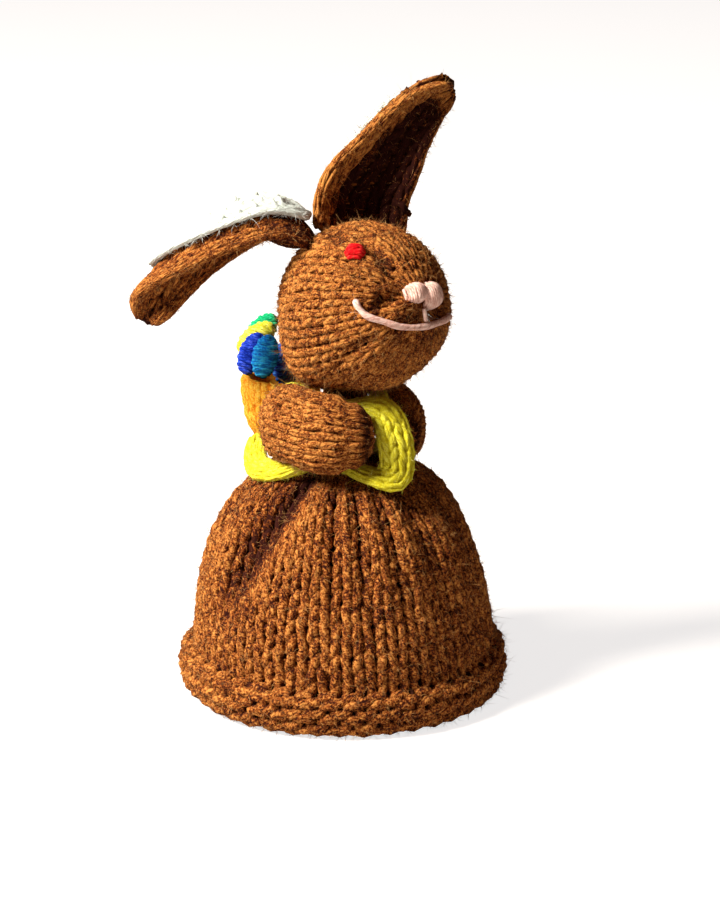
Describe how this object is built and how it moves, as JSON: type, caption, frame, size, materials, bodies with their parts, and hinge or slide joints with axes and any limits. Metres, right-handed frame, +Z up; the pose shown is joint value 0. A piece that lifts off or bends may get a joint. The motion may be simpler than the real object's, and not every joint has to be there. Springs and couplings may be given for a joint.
{
  "type": "egg cosy",
  "caption": "Knitted egg cosy: a hollow gathered skirt with a rolled hem, topped by a stuffed rabbit that wears a small basket of eggs on its back.",
  "frame": {"origin": "centre of the object's footprint on the table, under the middle of the hem", "axes": "+Z up, along the object's longest extent; the rabbit faces -Y and its left side is +X"},
  "size_m": [0.0544, 0.0544, 0.0991],
  "materials": {
    "brown_knit": "heathered brown wool, hand knitted",
    "white_knit": "white wool, hand knitted",
    "yellow_cord": "yellow wool cord, soft and felted",
    "orange_knit": "orange wool, hand knitted",
    "pink_yarn": "pale pink embroidery yarn",
    "red_yarn": "red embroidery yarn",
    "egg_sky_felt": "bright blue felted wool",
    "egg_navy_felt": "dark blue felted wool",
    "egg_violet_felt": "violet blue felted wool",
    "egg_yellow_felt": "yellow felted wool",
    "egg_green_felt": "green felted wool"
  },
  "bodies": {
    "root": {"skirt": "brown_knit", "torso": "brown_knit", "head": "brown_knit", "arm_right": "brown_knit", "arm_left": "brown_knit", "ear_right": "brown_knit", "ear_left": "brown_knit", "ear_lining_right": "white_knit", "ear_lining_left": "white_knit", "strap_right": "yellow_cord", "strap_left": "yellow_cord", "basket": "orange_knit", "egg_sky": "egg_sky_felt", "egg_navy": "egg_navy_felt", "egg_violet": "egg_violet_felt", "egg_yellow": "egg_yellow_felt", "egg_green": "egg_green_felt", "nose": "pink_yarn", "mouth": "pink_yarn", "lip": "pink_yarn", "eye_right": "red_yarn", "eye_left": "red_yarn"}
  },
  "joints": []
}
